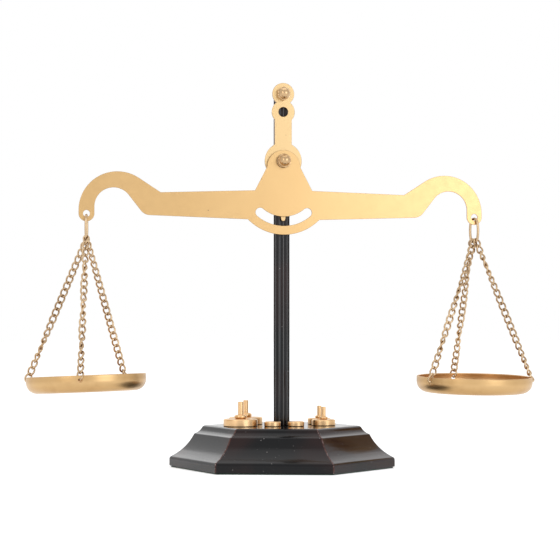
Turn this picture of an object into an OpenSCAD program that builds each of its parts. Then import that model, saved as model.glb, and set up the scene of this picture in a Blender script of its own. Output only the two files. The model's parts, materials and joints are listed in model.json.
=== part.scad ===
/* [Base] */
// Corner to corner width of the six-sided base
base_w = 155; // [125:1:190]
// Height of the upright edge at the foot of the base
plinth_h = 4.6; // [3:0.1:10]
// Radius of the round shoulder above the upright edge
shoulder_r = 2.4; // [1:0.1:4]
// Radius of the large hollow of the moulding
cove_r = 32.5; // [26:0.5:38]
// Radius of the bead above the large hollow
bead_r = 1.5; // [0.6:0.1:3]
// Radius of the small hollow under the top edge
lip_r = 8.5; // [5:0.1:12]
// Radius of the round top edge
edge_r = 2.6; // [0.8:0.1:3]
// Turn of the base against the line of the beam
base_turn = -13.5; // [-30:0.5:30]
// Thickness of the felt under the base
felt_t = 1; // [0.5:0.1:3]
// Distance from the edge of the base to the edge of the felt
felt_inset = 2.5; // [1:0.5:8]

/* [Post] */
// Diameter of the fluted post over its ridges
post_d = 11.2; // [9:0.1:14]
// Height of the post above the base
post_l = 230.1; // [180:1:300]
// Number of flutes round the post
flutes = 12; // [8:1:16]
// Depth of each flute
flute_depth = 0.55; // [0.3:0.05:0.9]
// Diameter of the threaded stud that ties the post to the base
stud_d = 6; // [4:0.5:7]
// Length of stud that goes up into the post
stud_grip = 22; // [10:1:40]

/* [Base fastening] */
// Depth of the round recess under the base
recess_depth = 9; // [7:0.5:14]
// Diameter of the round recess under the base
recess_d = 19; // [17:0.5:26]
// Diameter of the washer in the recess
base_washer_d = 16; // [13:0.5:18]
// Thickness of the washer in the recess
base_washer_t = 1.2; // [0.8:0.1:2]
// Width across the flats of the nut in the recess
base_nut_flats = 10; // [9:0.5:12]
// Height of the nut in the recess
base_nut_h = 5; // [3:0.5:6]

/* [Bracket] */
// Thickness of the bracket plate
bracket_t = 1.5; // [1:0.1:3]
// Distance from the pivot up to the top bolt
top_bolt_rise = 46; // [40:0.5:60]
// Radius of the disc round the top bolt
top_disc_r = 7.6; // [6.5:0.1:10]
// Distance from the pivot up to the open ring of the bracket
ring_disc_rise = 33.7; // [28:0.1:36]
// Outer radius of the open ring of the bracket
ring_disc_r = 8; // [6.5:0.1:10]
// Radius of the hole in that ring
ring_disc_hole_r = 3.3; // [2:0.1:5]
// Width of the bracket's neck
neck_w = 11.8; // [9:0.1:14]
// Radius of the disc round the pivot
pivot_disc_r = 12.8; // [10:0.1:16]
// Distance from the pivot down to the tip of the pointer
pointer_drop = 41.1; // [39:0.1:43]
// Width of the pointer at its tip
pointer_w = 2.8; // [2:0.1:5]
// Width of the pointer at the pivot disc
pointer_root_w = 14; // [8:0.5:18]

/* [Bolts and nuts] */
// Diameter of the two bolts through the post
bolt_d = 5; // [4:0.1:6]
// Diameter of the bolt heads behind the post
bolt_head_d = 8.4; // [7.5:0.1:11]
// Height of the bolt heads
bolt_head_h = 2.8; // [2:0.1:4]
// Width across the flats of the domed nuts
nut_flats = 8.4; // [7.5:0.1:10]
// Height of the six-sided part of the domed nuts
nut_hex_h = 3.4; // [2.5:0.1:5]
// Height of the dome above the six-sided part
nut_dome_h = 5.2; // [4.5:0.1:7]
// Diameter of the washer between the beam and its nut
pivot_washer_d = 9.8; // [8.8:0.1:12]
// Thickness of that washer
pivot_washer_t = 0.8; // [0.5:0.1:1.5]
// Diameter of the spacer between the bracket and the beam
spacer_d = 9; // [7.5:0.1:12]
// Thickness of the spacer
spacer_t = 0.4; // [0.3:0.1:2]

/* [Beam] */
// Thickness of the beam plate
beam_t = 1.5; // [1:0.1:3]
// Distance from the pivot out to each hook's hole
beam_arm = 134.1; // [125:0.1:160]
// Distance from the pivot down to the hooks' holes
hook_drop = 37.3; // [35:0.1:40]
// Outer radius of each hook
hook_r = 26.2; // [24:0.1:28]
// Radius of the hollow of each hook
hook_hollow_r = 12.9; // [11:0.1:14]
// Thickness of each hook at its top
hook_band = 10.9; // [9:0.1:12]
// Width of each hook's straight end
tab_w = 10.6; // [8.5:0.1:13]
// Length of the straight end above its hole
tab_l = 2.4; // [1:0.1:4]
// Radius of the hole at the end of each hook
hook_hole_r = 2.3; // [2.2:0.05:3]
// Slope of the arm's outer edge where it falls from the hook
outer_slope = 33; // [28:1:38]
// Slope of the arm's inner edge where it falls from the hook
inner_slope = 52; // [46:1:60]
// Radius of the corner under each arm
arm_corner_r = 8; // [2:0.5:12]
// Height of each arm near the centre
arm_h_in = 20; // [17:0.1:22]
// Height of each arm near the hook
arm_h_out = 15.4; // [12:0.1:17]
// Distance from the pivot down to the middle of the arms
arm_drop = 30.35; // [29:0.05:32]
// Radius of the round crown over the pivot
crown_r = 11.4; // [8:0.1:14]
// Distance from the pivot down to the crown's centre
crown_drop = 4; // [2:0.1:6]
// Half width of the centre where it meets the arms
shoulder_half_w = 19.8; // [16:0.1:24]
// Radius of the belly under the centre
belly_r = 34.7; // [33.8:0.1:37]
// Distance from the pivot down to the belly's and the slot's centre
belly_drop = 15.8; // [15:0.1:16.5]
// Inner radius of the curved slot
slot_in_r = 22.3; // [20:0.1:24]
// Outer radius of the curved slot
slot_out_r = 28.6; // [27:0.1:30]
// Angle from the middle of the slot to the centre of each round end
slot_half_angle = 39.8; // [25:0.5:42]

/* [Rings] */
// Length of each oval hanging ring
ring_l = 18; // [16:0.1:24]
// Width of each oval hanging ring
ring_w = 9.2; // [8.6:0.1:11]
// Thickness of the ring's wire
ring_wire_d = 1.8; // [1.4:0.1:2]
// Turn of the left ring about its upright axis
left_ring_turn = -10; // [-14:1:-6]
// Turn of the right ring about its upright axis
right_ring_turn = 32; // [31:1:35]
// Angle along the ring's end between the chains that hang on it
chain_spread = 32; // [31:1:35]

/* [Chains] */
// Number of links in each chain
chain_links = 22; // [18:1:26]
// Width of a chain link
link_w = 5.2; // [4.8:0.1:5.6]
// Thickness of the chain's wire
link_wire_d = 1.2; // [0.8:0.05:1.25]
// Turn of the last link away from square to the pan's wall
last_link_turn = 25; // [0:5:35]

/* [Pans] */
// Outer diameter of each pan
pan_d = 80; // [66:1:90]
// Depth of each pan
pan_depth = 11.2; // [9:0.1:20]
// Thickness of the pan's sheet
pan_t = 0.8; // [0.5:0.05:1]
// Outer radius where the pan's wall turns into its floor
pan_corner_r = 7.5; // [3:0.1:8]
// Distance from the left hook's hole down to the pan's rim
left_hang_drop = 108.4; // [95:0.1:125]
// Distance from the right hook's hole down to the pan's rim
right_hang_drop = 110.2; // [95:0.1:125]
// Distance from the pan's rim down to its three holes
pan_hole_drop = 3.3; // [3:0.1:3.5]
// Diameter of the pan's three holes
pan_hole_d = 3; // [2.8:0.1:3.4]
// Directions of the left pan's holes for its left, front and back chains
left_hole_angles = [168, 261, 45]; // [0:1:360]
// Directions of the right pan's holes for its right, front and back chains
right_hole_angles = [348, 206, 97]; // [0:1:360]
// Lean of the left pan about the fore and aft line, right side up
left_pan_roll = 2; // [-4:0.5:4]
// Lean of the left pan about the line of the beam, front up
left_pan_pitch = 1.5; // [-4:0.5:4]
// Lean of the right pan about the fore and aft line, right side up
right_pan_roll = -0.5; // [-4:0.5:4]
// Lean of the right pan about the line of the beam, front up
right_pan_pitch = -2; // [-4:0.5:4]

/* [Weights] */
// Diameter of the two large weights
large_d = 23.2; // [18:0.1:23.5]
// Height of the large weights' disc
large_h = 5; // [3:0.1:10]
// Diameter of the bead on the large weights
large_bead_d = 8.4; // [6:0.1:11]
// Diameter of the large weights' stem
large_stem_d = 3.6; // [2.5:0.1:5]
// Height of the large weights' stem above the bead
large_stem_l = 8.6; // [4:0.1:14]
// Diameter of the two medium weights
medium_d = 16.2; // [12:0.1:17.5]
// Height of the medium weights' disc
medium_h = 4.2; // [2.5:0.1:8]
// Diameter of the bead on the medium weights
medium_bead_d = 5.8; // [4.5:0.1:8]
// Diameter of the medium weights' stem
medium_stem_d = 3; // [2:0.1:4]
// Height of the medium weights' stem above the bead
medium_stem_l = 6.5; // [3:0.1:11]
// Diameter of the two small weights
small_d = 11.2; // [8:0.1:12]
// Height of the small weights
small_h = 3.4; // [2:0.1:6]
// Place of the front large weight on the base
large_front_at = [-29.5, -7.5]; // [-40:0.5:40]
// Place of the back large weight on the base
large_back_at = [-22, 19]; // [-40:0.5:40]
// Place of the front medium weight on the base
medium_front_at = [28, -6.5]; // [-40:0.5:40]
// Place of the back medium weight on the base
medium_back_at = [28.5, 12]; // [-40:0.5:40]
// Place of the left small weight on the base
small_left_at = [-8.5, -13.5]; // [-40:0.5:40]
// Place of the right small weight on the base
small_right_at = [7.5, -14]; // [-40:0.5:40]

/* [Hidden] */
$fn = 48;

// Slack that every named fit gets
thread_gap = 0.05;
pivot_gap = 0.05;
side_gap = 0.05;
hole_gap = 0.1;
chain_gap = 0.1;
joint_gap = 0.35;
ring_gap = 0.35;
ring_chain_gap = 0.25;
cut = 1;

thread_pitch = 1;
thread_depth = 0.45;
bolt_thread_l = 9;
bolt_socket_flats = 3;
bolt_socket_depth = 1.6;
stud_tip = 1.5;
nut_roof = 1.2;

// Slopes of the base moulding where its arcs meet
cove_low = 30;
cove_high = 66;
lip_low = 24;
lip_high = 64;

brass = "#d9ac66";
weight_brass = "#e0a565";
lacquer = "#26262a";
steel = "#8d8f94";
felt = "#23402f";

function polar(centre, radius, angle) =
    [centre[0] + radius * cos(angle), centre[1] + radius * sin(angle)];
// Points along an arc, both ends included
function arc(centre, radius, from, to, steps) =
    [for (k = [0 : steps]) polar(centre, radius, from + (to - from) * k / steps)];
function vec_len(v) = sqrt(v * v);
function whole_microns(x) = round(1000 * x) / 1000;
function unit(v) = v / vec_len(v);
function at_height(edge, x) =
    edge[0][1] + (x - edge[0][0]) * (edge[1][1] - edge[0][1]) / (edge[1][0] - edge[0][0]);

// Moulding of the base, each arc tangent to the next
base_flat_half = base_w / 2 * cos(30);
shoulder_c = [base_flat_half - shoulder_r, plinth_h];
cove_c = polar(shoulder_c, shoulder_r + cove_r, 90 - cove_low);
cove_end = polar(cove_c, -cove_r, 90 - cove_high);
bead_c = polar(cove_end, -bead_r, 90 - cove_high);
lip_c = polar(bead_c, bead_r + lip_r, 90 - lip_low);
lip_end = polar(lip_c, -lip_r, 90 - lip_high);
edge_c = polar(lip_end, -edge_r, 90 - lip_high);
base_h = edge_c[1] + edge_r;
base_top = felt_t + base_h;

// Heights along the post and layers in front of it
post_r = post_d / 2;
post_top = base_top + post_l;
post_cap = 3.4;
pivot_z = post_top - post_cap - top_bolt_rise;
bolt_r = bolt_d / 2;
bracket_front = post_r + bracket_t;
spacer_front = bracket_front + spacer_t;
beam_back = spacer_front + side_gap;
beam_front = beam_back + beam_t;
beam_mid = (beam_back + beam_front) / 2;
washer_front = beam_front + side_gap + pivot_washer_t;
flute_r = (pow(post_r * sin(180 / flutes), 2) + pow(flute_depth, 2)) / (2 * flute_depth);
flute_phase = 5.5;

// Beam outline, measured from the pivot
hook_c = [beam_arm + tab_w / 2 - hook_r, tab_l - hook_drop];
hollow_c = [beam_arm - tab_w / 2 - hook_hollow_r, hook_c[1] + hook_r - hook_band - hook_hollow_r];
arm_in_x = 20;
arm_out_x = 90;
arm_top = [[arm_in_x, arm_h_in / 2 - arm_drop], [arm_out_x, arm_h_out / 2 - arm_drop]];
arm_low = [[arm_in_x, -arm_h_in / 2 - arm_drop], [arm_out_x, -arm_h_out / 2 - arm_drop]];
outer_touch = polar(hook_c, hook_r, 90 + outer_slope);
inner_touch = polar(hollow_c, hook_hollow_r, 90 + inner_slope);
outer_line = [outer_touch, polar(outer_touch, -1, outer_slope)];
inner_line = [inner_touch, polar(inner_touch, -1, inner_slope)];
outer_corner = crossing(outer_line, arm_top);
inner_corner = crossing(inner_line, arm_low);
arm_low_slope = atan2(arm_low[1][1] - arm_low[0][1], arm_low[1][0] - arm_low[0][0]);
corner_half = (180 - inner_slope + arm_low_slope) / 2;
corner_reach = arm_corner_r / tan(corner_half);
corner_a = polar(inner_corner, corner_reach, inner_slope);
corner_c = polar(corner_a, arm_corner_r, 90 + inner_slope);
belly_rise = at_height(arm_low, 0) + belly_drop;
belly_lean = tan(arm_low_slope);
belly_x = (
    sqrt(pow(belly_lean * belly_rise, 2) + (1 + pow(belly_lean, 2)) * (pow(belly_r, 2) - pow(belly_rise, 2)))
    - belly_lean * belly_rise
) / (1 + pow(belly_lean, 2));
belly_angle = atan2(at_height(arm_low, belly_x) + belly_drop, belly_x);
slot_mid_r = (slot_in_r + slot_out_r) / 2;
slot_end_r = (slot_out_r - slot_in_r) / 2;

function crossing(p, q) =
    let (
        slope_p = (p[1][1] - p[0][1]) / (p[1][0] - p[0][0]),
        slope_q = (q[1][1] - q[0][1]) / (q[1][0] - q[0][0]),
        x = (q[0][1] - p[0][1] + slope_p * p[0][0] - slope_q * q[0][0]) / (slope_p - slope_q)
    )
    [x, at_height(p, x)];

// Hanging rings: half turns of wire with straight sides between them
ring_wire_r = ring_wire_d / 2;
ring_end_r = ring_w / 2 - ring_wire_r;
ring_straight = ring_l - ring_w;
ring_seat = hook_hole_r - ring_wire_r - ring_gap;
ring_end_drop = ring_seat + ring_end_r + ring_straight;

function turn_of(side) = side < 0 ? left_ring_turn : right_ring_turn;
function hook_hole(side) = [side * beam_arm, -beam_mid, pivot_z - hook_drop];
function ring_end(side) = hook_hole(side) - [0, 0, ring_end_drop];
function ring_axis(side) = [-sin(turn_of(side)), cos(turn_of(side)), 0];
function ring_point(side, angle) =
    ring_end(side) + ring_end_r * (sin(angle) * ring_axis(side) - [0, 0, cos(angle)]);
function ring_tangent(side, angle) = cos(angle) * ring_axis(side) + [0, 0, sin(angle)];

// Pans: the point where each chain's last link passes the wall
link_wire_r = link_wire_d / 2;
link_end_r = link_w / 2 - link_wire_r;
pan_r = pan_d / 2;
last_link_rise = (pan_hole_d / 2 - link_wire_r) / 2;
last_link_out = 0.5;

function pan_roll(side) = side < 0 ? left_pan_roll : right_pan_roll;
function pan_pitch(side) = side < 0 ? left_pan_pitch : right_pan_pitch;
function hang_drop(side) = side < 0 ? left_hang_drop : right_hang_drop;
function pan_centre(side) = hook_hole(side) - [0, 0, hang_drop(side)];
function pitched(v, a) = [v[0], v[1] * cos(a) - v[2] * sin(a), v[1] * sin(a) + v[2] * cos(a)];
function rolled(v, a) = [v[0] * cos(a) + v[2] * sin(a), v[1], -v[0] * sin(a) + v[2] * cos(a)];
function on_pan(side, v) =
    pan_centre(side) + rolled(pitched(v, -pan_pitch(side)), -pan_roll(side));
function hole_angles(side) = side < 0 ? left_hole_angles : right_hole_angles;
function wall_point(side, n) =
    let (a = hole_angles(side)[n])
    on_pan(side, [
        (pan_r - pan_t / 2 + last_link_out) * cos(a),
        (pan_r - pan_t / 2 + last_link_out) * sin(a),
        last_link_rise - pan_hole_drop
    ]);

// Chains: n is 0 for the outer or side chain, 1 for the front one, 2 for the back one
link_hold = ring_wire_r + link_wire_r + ring_chain_gap;
link_step = link_wire_d + chain_gap;
first_step = link_wire_d + joint_gap;

function spread_of(side, n) = side < 0 ? [0, -1, 1][n] : [-1, 0, 1][n];
function chain_from(side, n) = ring_point(side, spread_of(side, n) * chain_spread);
function chain_dir(side, n) = unit(wall_point(side, n) - chain_from(side, n));
function chain_start(side, n) = chain_from(side, n) - link_hold * chain_dir(side, n);
function chain_span(side, n) = vec_len(wall_point(side, n) - chain_start(side, n));
function link_straight(side, n) =
    let (len = (chain_span(side, n) + (chain_links - 2) * link_step + first_step) / chain_links)
    whole_microns(len - 2 * link_end_r);
function link_len(side, n) = link_straight(side, n) + 2 * link_end_r;
function link_centre(side, n, k) =
    let (len = link_len(side, n))
    chain_start(side, n)
    + (len / 2 + (k > 0 ? len - first_step + (k - 1) * (len - link_step) : 0)) * chain_dir(side, n);
function chain_azimuth(side, n) = atan2(chain_dir(side, n)[1], chain_dir(side, n)[0]);
function chain_lean(side, n) =
    let (d = chain_dir(side, n))
    atan2(sqrt(d[0] * d[0] + d[1] * d[1]), -d[2]);
// Roll that sets the first link square to the ring's wire
function first_roll(side, n) =
    let (
        az = chain_azimuth(side, n),
        lean = chain_lean(side, n),
        wire = ring_tangent(side, spread_of(side, n) * chain_spread),
        across = wire * [cos(lean) * cos(az), cos(lean) * sin(az), sin(lean)],
        along = wire * [-sin(az), cos(az), 0]
    )
    atan2(-across, along);
function half_turn(a) = a - 180 * round(a / 180);
function link_roll(side, n, k) =
    let (
        first = first_roll(side, n),
        twist = half_turn(last_link_turn - first - 90 * (chain_links - 1))
    )
    first + 90 * k + twist * k / (chain_links - 1);

// Weights
weight_bevel = 0.5;
bead_squash = 0.36;
stem_foot = 0.6;

// Outline of the moulding over a flat side, from its foot to its top edge
moulding = concat(
    [[base_flat_half, 0]],
    arc(shoulder_c, shoulder_r, 0, 90 - cove_low, 6),
    arc(cove_c, -cove_r, 90 - cove_low, 90 - cove_high, 14),
    arc(bead_c, bead_r, 90 - cove_high, 90 - lip_low, 6),
    arc(lip_c, -lip_r, 90 - lip_low, 90 - lip_high, 8),
    arc(edge_c, edge_r, 90 - lip_high, 90, 6)
);

module base() {
    color(lacquer)
    translate([0, 0, felt_t])
    difference() {
        rotate([0, 0, base_turn])
        rotate_extrude($fn = 6)
        polygon(concat(
            [[0, 0]],
            [for (point = moulding) [point[0] / cos(30), point[1]]],
            [[0, base_h]]
        ));
        translate([0, 0, -cut]) cylinder(h = recess_depth + cut, d = recess_d);
        cylinder(h = base_h + cut, d = stud_d + 2 * hole_gap);
    }
}

module felt_pad() {
    color(felt)
    rotate([0, 0, base_turn])
    cylinder(h = felt_t, r = (base_flat_half - felt_inset) / cos(30), $fn = 6);
}

module post() {
    stud_bore = stud_d + 2 * thread_gap;
    bolt_hole = bolt_d + 2 * hole_gap;
    color(lacquer)
    difference() {
        translate([0, 0, base_top]) cylinder(h = post_l, d = post_d);
        for (k = [0 : flutes - 1]) {
            rotate([0, 0, flute_phase + 360 * (k + 0.5) / flutes])
            translate([post_r - flute_depth + flute_r, 0, base_top - cut])
            cylinder(h = post_l + 2 * cut, r = flute_r);
        }
        translate([0, 0, base_top - cut]) cylinder(h = stud_grip + 2 * cut, d = stud_bore);
        for (height = [pivot_z, pivot_z + top_bolt_rise]) {
            translate([0, 0, height])
            rotate([90, 0, 0])
            cylinder(h = post_d + 2 * cut, d = bolt_hole, center = true);
        }
    }
}

// Section of a threaded rod whose thread is a row of grooves
module thread_half(diameter, length) {
    turns = floor(length / thread_pitch);
    groove = diameter / 2 - thread_depth;
    polygon(concat(
        [[0, 0]],
        [for (k = [0 : turns - 1], top = [0, 1])
            [top == 0 ? groove : diameter / 2, (k + top / 2) * thread_pitch]],
        [[groove, turns * thread_pitch], [groove, length], [0, length]]
    ));
}

module threaded_rod(diameter, length) {
    rotate_extrude() thread_half(diameter, length);
}

module hexagon(flats, height) {
    cylinder(h = height, r = flats / 2 / cos(30), $fn = 6);
}

// Six-sided prism whose corners are bevelled at the given ends
module bevelled_hexagon(flats, height, lower, upper) {
    corner = flats / 2 / cos(30);
    drop = (corner - flats / 2) * tan(30);
    intersection() {
        hexagon(flats, height);
        rotate_extrude()
        polygon([
            [0, 0],
            [lower ? flats / 2 : corner, 0],
            [corner, lower ? drop : 0],
            [corner, upper ? height - drop : height],
            [upper ? flats / 2 : corner, height],
            [0, height]
        ]);
    }
}

recess_top = felt_t + recess_depth;
base_washer_z = recess_top - base_washer_t;
base_nut_z = base_washer_z - base_nut_h;

module post_stud() {
    foot = base_nut_z - stud_tip;
    color(steel)
    translate([0, 0, foot])
    threaded_rod(stud_d, base_top + stud_grip - foot);
}

module base_washer() {
    color(steel)
    translate([0, 0, base_washer_z])
    difference() {
        cylinder(h = base_washer_t, d = base_washer_d);
        translate([0, 0, -cut])
        cylinder(h = base_washer_t + 2 * cut, d = stud_d + 2 * hole_gap);
    }
}

module base_nut() {
    color(steel)
    translate([0, 0, base_nut_z])
    difference() {
        bevelled_hexagon(base_nut_flats, base_nut_h, true, true);
        translate([0, 0, -cut])
        cylinder(h = base_nut_h + 2 * cut, d = stud_d + 2 * thread_gap);
    }
}

// Stands flat outlines upright as plates, from the given depth in front of the post
module upright(back, thickness) {
    translate([0, -back, 0])
    rotate([90, 0, 0])
    for (k = [0 : $children - 1]) {
        linear_extrude(height = thickness) children(k);
    }
}

module bracket_plate() {
    pointer_tip = pointer_w / 2 - pointer_drop;
    color(brass)
    translate([0, 0, pivot_z])
    difference() {
        upright(post_r, bracket_t) {
            circle(pivot_disc_r);
            translate([-neck_w / 2, 0]) square([neck_w, top_bolt_rise]);
            translate([0, ring_disc_rise]) circle(ring_disc_r);
            translate([0, top_bolt_rise]) circle(top_disc_r);
            polygon([
                [-pointer_root_w / 2, -pivot_disc_r / 2],
                [pointer_root_w / 2, -pivot_disc_r / 2],
                [pointer_w / 2, pointer_tip],
                [-pointer_w / 2, pointer_tip]
            ]);
            translate([0, pointer_tip]) circle(pointer_w / 2);
        }
        upright(post_r - cut, bracket_t + 2 * cut) {
            circle(bolt_r + hole_gap);
            translate([0, top_bolt_rise]) circle(bolt_r + hole_gap);
            translate([0, ring_disc_rise]) circle(ring_disc_hole_r);
        }
    }
}

// Bolt along the Y axis with its head behind the post
module cross_bolt(tip) {
    head_crown = bolt_head_h / 3;
    rotate([90, 0, 0]) {
        difference() {
            translate([0, 0, -post_r - bolt_head_h])
            rotate_extrude()
            polygon([
                [0, 0],
                [bolt_head_d / 2 - head_crown, 0],
                [bolt_head_d / 2, head_crown],
                [bolt_head_d / 2, bolt_head_h],
                [0, bolt_head_h]
            ]);
            translate([0, 0, -post_r - bolt_head_h - cut])
            hexagon(bolt_socket_flats, bolt_socket_depth + cut);
        }
        translate([0, 0, -post_r])
        cylinder(h = post_r + tip - bolt_thread_l, d = bolt_d);
        translate([0, 0, tip - bolt_thread_l]) threaded_rod(bolt_d, bolt_thread_l);
    }
}

// Domed nut that stands on the plane at the given depth in front of the post
nut_h = nut_hex_h + nut_dome_h;
dome_r = nut_flats / 2 - 0.2;

module acorn_nut(back) {
    bore_depth = nut_h - nut_roof - dome_r / 2;
    translate([0, -back, 0])
    rotate([90, 0, 0])
    difference() {
        union() {
            rotate([0, 0, 90]) bevelled_hexagon(nut_flats, nut_hex_h, false, true);
            translate([0, 0, nut_hex_h - cut]) cylinder(h = nut_dome_h - dome_r + cut, r = dome_r);
            translate([0, 0, nut_h - dome_r]) sphere(dome_r);
        }
        translate([0, 0, -cut]) cylinder(h = bore_depth + cut, d = bolt_d + 2 * thread_gap);
    }
}

nut_grip = 5;

module top_bolt() {
    color(steel)
    translate([0, 0, pivot_z + top_bolt_rise]) cross_bolt(bracket_front + nut_grip);
}

module top_acorn_nut() {
    color(brass)
    translate([0, 0, pivot_z + top_bolt_rise]) acorn_nut(bracket_front);
}

module pivot_bolt() {
    color(steel)
    translate([0, 0, pivot_z]) cross_bolt(washer_front + nut_grip);
}

module flat_ring(outer_d, inner_d) {
    difference() {
        circle(d = outer_d);
        circle(d = inner_d);
    }
}

module pivot_spacer() {
    color(brass)
    translate([0, 0, pivot_z])
    upright(bracket_front, spacer_t) flat_ring(spacer_d, bolt_d + 2 * hole_gap);
}

module pivot_washer() {
    color(brass)
    translate([0, 0, pivot_z])
    upright(beam_front + side_gap, pivot_washer_t) flat_ring(pivot_washer_d, bolt_d + 2 * hole_gap);
}

module pivot_acorn_nut() {
    color(brass)
    translate([0, 0, pivot_z]) acorn_nut(washer_front);
}

// Right half of the beam's outline, clockwise from the crown's top to the belly's lowest point
beam_half_outline = concat(
    arc([0, -crown_drop], crown_r, 90, 0, 24),
    [[shoulder_half_w, at_height(arm_top, shoulder_half_w)], outer_corner],
    arc(hook_c, hook_r, 90 + outer_slope, 0, 40),
    arc([beam_arm, -hook_drop], tab_w / 2, 0, -180, 24),
    arc(hollow_c, hook_hollow_r, 0, 90 + inner_slope, 36),
    arc(corner_c, arm_corner_r, inner_slope - 90, arm_low_slope - 90, 12),
    arc([0, -belly_drop], belly_r, belly_angle, -90, 16)
);

module beam_outline() {
    last = len(beam_half_outline) - 1;
    polygon(concat(
        beam_half_outline,
        [for (k = [last - 1 : -1 : 1]) [-beam_half_outline[k][0], beam_half_outline[k][1]]]
    ));
}

module curved_slot() {
    from = -90 - slot_half_angle;
    to = -90 + slot_half_angle;
    polygon(concat(
        arc([0, 0], slot_out_r, from, to, 32),
        arc(polar([0, 0], slot_mid_r, to), slot_end_r, to, to + 180, 16),
        arc([0, 0], slot_in_r, to, from, 32),
        arc(polar([0, 0], slot_mid_r, from), -slot_end_r, from, from + 180, 16)
    ));
}

module beam() {
    color(brass)
    translate([0, 0, pivot_z])
    difference() {
        upright(beam_back, beam_t) {
            beam_outline();
        }
        upright(beam_back - cut, beam_t + 2 * cut) {
            circle(bolt_r + pivot_gap);
            translate([0, -belly_drop]) curved_slot();
            translate([beam_arm, -hook_drop]) circle(hook_hole_r);
            translate([-beam_arm, -hook_drop]) circle(hook_hole_r);
        }
    }
}

// Long loop of round wire in the YZ plane, long way up: two half turns and two straight sides
module wire_loop(end_r, straight, wire_r) {
    rotate([90, 0, 90])
    for (half = [0, 180]) {
        rotate([0, 0, half]) {
            translate([0, straight / 2, 0])
            rotate_extrude(angle = 180)
            translate([end_r, 0]) circle(wire_r, $fn = 24);
            translate([end_r, straight / 2, 0])
            rotate([90, 0, 0])
            cylinder(h = straight, r = wire_r, $fn = 24);
        }
    }
}

module hanging_ring(side) {
    color(brass)
    translate(hook_hole(side) - [0, 0, ring_seat + ring_straight / 2 + ring_end_r])
    rotate([0, 0, turn_of(side)])
    wire_loop(ring_end_r, ring_straight, ring_wire_r);
}

module left_ring() { hanging_ring(-1); }
module right_ring() { hanging_ring(1); }

module placed_link(side, n, k) {
    translate(link_centre(side, n, k))
    rotate([0, -chain_lean(side, n), chain_azimuth(side, n)])
    rotate([0, 0, 90 + link_roll(side, n, k)])
    wire_loop(link_end_r, link_straight(side, n), link_wire_r);
}

module top_links(side) {
    color(brass)
    for (n = [0 : 2]) {
        placed_link(side, n, 0);
    }
}

module chain(side, n) {
    color(brass)
    for (k = [1 : chain_links - 1]) {
        placed_link(side, n, k);
    }
}

module left_top_links() { top_links(-1); }
module right_top_links() { top_links(1); }
module left_chain_outer() { chain(-1, 0); }
module left_chain_front() { chain(-1, 1); }
module left_chain_back() { chain(-1, 2); }
module right_chain_outer() { chain(1, 0); }
module right_chain_front() { chain(1, 1); }
module right_chain_back() { chain(1, 2); }

// Half section of a round-cornered cup, from its axis outwards
module cup_half(radius, depth, corner) {
    square([radius - corner, depth]);
    translate([0, corner]) square([radius, depth - corner]);
    translate([radius - corner, corner]) circle(corner);
}

module pan_section() {
    difference() {
        intersection() {
            cup_half(pan_r, pan_depth, pan_corner_r);
            square([pan_r, pan_depth - pan_t / 2]);
        }
        translate([0, pan_t]) cup_half(pan_r - pan_t, pan_depth, pan_corner_r - pan_t);
    }
    translate([pan_r - pan_t / 2, pan_depth - pan_t / 2]) circle(pan_t / 2, $fn = 16);
}

module pan(side) {
    color(brass)
    translate(pan_centre(side))
    rotate([0, -pan_roll(side), 0])
    rotate([-pan_pitch(side), 0, 0])
    difference() {
        translate([0, 0, -pan_depth])
        rotate_extrude($fn = 96)
        intersection() {
            pan_section();
            square([pan_r, pan_depth]);
        }
        for (angle = hole_angles(side)) {
            rotate([0, 0, angle])
            translate([pan_r - pan_corner_r, 0, -pan_hole_drop])
            rotate([0, 90, 0])
            cylinder(h = 2 * pan_corner_r, d = pan_hole_d);
        }
    }
}

module left_pan() { pan(-1); }
module right_pan() { pan(1); }

// Section of a turned weight; a stem diameter of 0 leaves a plain disc
module weight_half(disc_d, disc_h, bead_d, stem_d, stem_l) {
    bead_h = bead_d * bead_squash;
    polygon([
        [0, 0],
        [disc_d / 2 - weight_bevel, 0],
        [disc_d / 2, weight_bevel],
        [disc_d / 2, disc_h - weight_bevel],
        [disc_d / 2 - weight_bevel, disc_h],
        [0, disc_h]
    ]);
    if (stem_d > 0) {
        square([bead_d / 2 - bead_h / 2, disc_h + bead_h]);
        translate([bead_d / 2 - bead_h / 2, disc_h + bead_h / 2]) circle(bead_h / 2, $fn = 24);
        translate([0, disc_h + bead_h])
        polygon([
            [0, 0],
            [stem_d / 2 + stem_foot, 0],
            [stem_d / 2, stem_foot],
            [stem_d / 2, stem_l - weight_bevel / 2],
            [stem_d / 2 - weight_bevel / 2, stem_l],
            [0, stem_l]
        ]);
    }
}

module weight(place, disc_d, disc_h, bead_d, stem_d, stem_l) {
    color(weight_brass)
    translate([place[0], place[1], base_top])
    rotate_extrude() weight_half(disc_d, disc_h, bead_d, stem_d, stem_l);
}

module large_weight(place) {
    weight(place, large_d, large_h, large_bead_d, large_stem_d, large_stem_l);
}

module medium_weight(place) {
    weight(place, medium_d, medium_h, medium_bead_d, medium_stem_d, medium_stem_l);
}

module small_weight(place) {
    weight(place, small_d, small_h, 0, 0, 0);
}

module large_weight_front() { large_weight(large_front_at); }
module large_weight_back() { large_weight(large_back_at); }
module medium_weight_front() { medium_weight(medium_front_at); }
module medium_weight_back() { medium_weight(medium_back_at); }
module small_weight_left() { small_weight(small_left_at); }
module small_weight_right() { small_weight(small_right_at); }

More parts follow.
